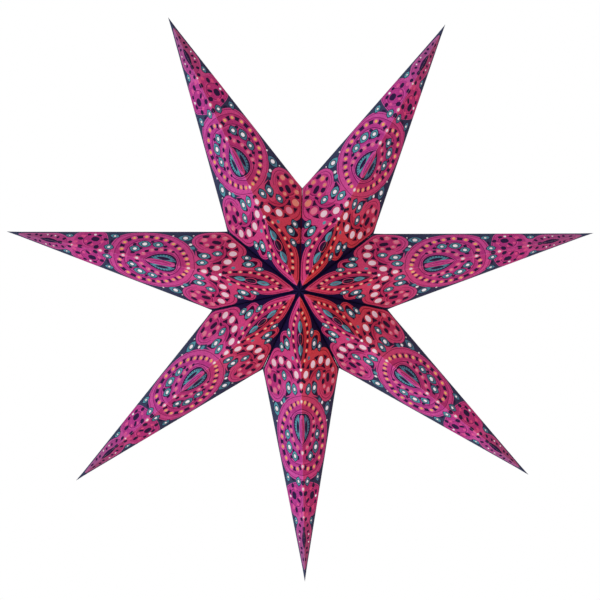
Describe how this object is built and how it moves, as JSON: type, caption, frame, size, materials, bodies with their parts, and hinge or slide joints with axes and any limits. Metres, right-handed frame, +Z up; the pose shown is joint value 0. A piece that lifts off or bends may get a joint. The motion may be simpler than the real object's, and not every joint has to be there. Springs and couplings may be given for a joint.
{
  "type": "paper star lantern",
  "caption": "Hollow pointed star lantern folded from printed, die-cut card with a tissue lining, hung by its tied top seam.",
  "frame": {"origin": "centre of the star in its middle plane, where the outer edges of the points lie", "axes": "+Z up as the star hangs, -Y out of its front, +X to the right as seen from the front"},
  "size_m": [0.5899, 0.15, 0.5696],
  "materials": {
    "printed_card": "matt printed card, crimson and magenta on near black",
    "tissue": "translucent tissue, tinted pink, orange and white behind the cut-outs"
  },
  "bodies": {
    "root": {"point_bottom": "printed_card", "point_lower_left": "printed_card", "point_left": "printed_card", "point_upper_left": "printed_card", "point_upper_right": "printed_card", "point_right": "printed_card", "point_lower_right": "printed_card", "lining_bottom": "tissue", "lining_lower_left": "tissue", "lining_left": "tissue", "lining_upper_left": "tissue", "lining_upper_right": "tissue", "lining_right": "tissue", "lining_lower_right": "tissue"}
  },
  "joints": []
}
